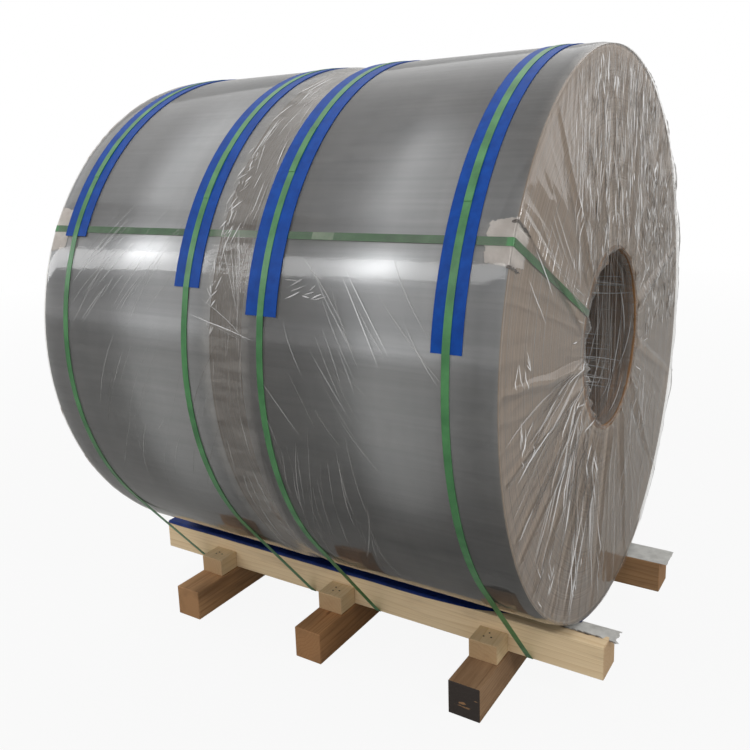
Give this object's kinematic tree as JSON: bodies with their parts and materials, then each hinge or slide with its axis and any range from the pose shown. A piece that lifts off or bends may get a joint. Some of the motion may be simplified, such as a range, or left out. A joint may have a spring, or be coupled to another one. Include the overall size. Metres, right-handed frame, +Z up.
{
  "type": "aluminium coil",
  "caption": "Rolled aluminium strip in coils, eyes level, end to end on a timber skid, in clear film with plastic pads and straps round the girth and through the eyes.",
  "frame": {"origin": "on the floor, under the middle of the skid", "axes": "+X along the coils' axis, +Y towards the rear, +Z up"},
  "size_m": [1.72, 1.6126, 1.7855],
  "materials": {
    "aluminium": "satin mill finish, finely brushed round the coil",
    "core_board": "wound brown board",
    "clear_film": "clear stretch film, wrinkled",
    "guard_sheet": "pale board, torn edges",
    "green_strap": "embossed green strapping",
    "blue_plastic": "deep blue sheet",
    "white_sheet": "pale grey-white sheet",
    "pine": "sawn pale pine",
    "pine_brown": "sawn pine, weathered brown",
    "pine_stained": "sawn pine with a dark stained end"
  },
  "bodies": {
    "root": {"bearer_front": "pine", "bearer_rear": "pine", "bearer_sheet_front": "white_sheet", "bearer_sheet_rear": "white_sheet", "coil_left": "aluminium", "coil_liner": "blue_plastic", "coil_right": "aluminium", "core_left": "core_board", "core_right": "core_board", "cross_beam_left": "pine_brown", "cross_beam_middle": "pine_brown", "cross_beam_right": "pine_stained", "edge_guard_left": "guard_sheet", "edge_guard_right": "guard_sheet", "eye_strap": "green_strap", "girth_strap_1": "green_strap", "girth_strap_2": "green_strap", "girth_strap_3": "green_strap", "girth_strap_4": "green_strap", "stop_block_front_left": "pine", "stop_block_front_middle": "pine", "stop_block_front_right": "pine", "stop_block_rear_left": "pine", "stop_block_rear_middle": "pine", "stop_block_rear_right": "pine", "strap_pad_1": "blue_plastic", "strap_pad_2": "blue_plastic", "strap_pad_3": "blue_plastic", "strap_pad_4": "blue_plastic", "stretch_film": "clear_film"}
  },
  "joints": []
}
